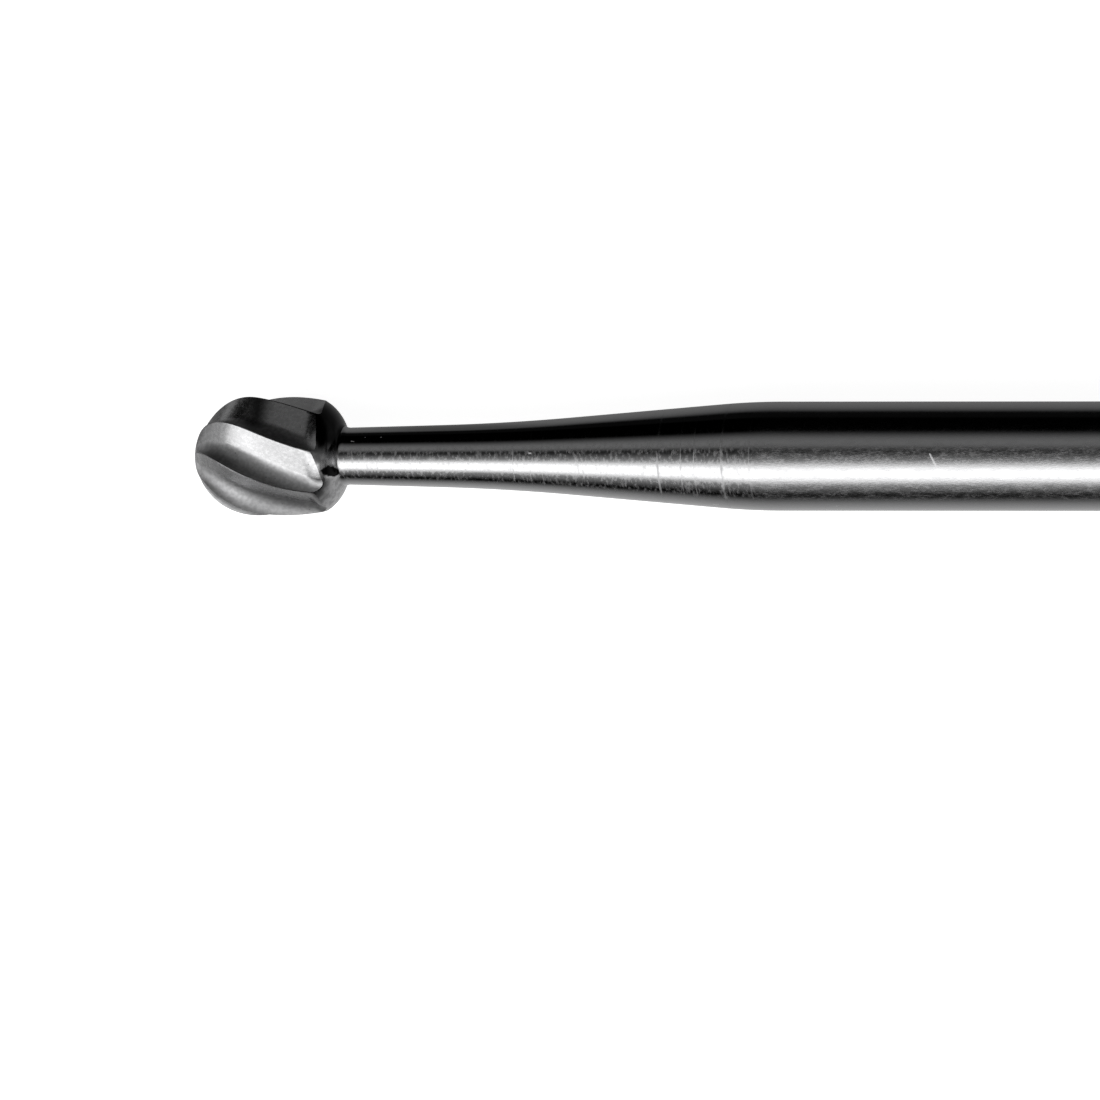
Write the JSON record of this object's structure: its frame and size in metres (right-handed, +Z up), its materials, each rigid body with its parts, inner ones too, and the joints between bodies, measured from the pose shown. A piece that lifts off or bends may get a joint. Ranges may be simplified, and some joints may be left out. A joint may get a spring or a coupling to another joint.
{
  "type": "round surgical bur",
  "caption": "One-piece steel rotary bur: round fluted head with helical teeth, slim tapered neck and plain straight shank.",
  "frame": {"origin": "under the middle of the length, on the surface that the bur lies on", "axes": "+X along the axis from the head to the free end of the shank, +Z up from the surface that it lies on"},
  "size_m": [0.0446, 0.0026, 0.0026],
  "materials": {
    "ground_steel": "finely ground bright steel"
  },
  "bodies": {
    "root": {"bur": "ground_steel"}
  },
  "joints": []
}
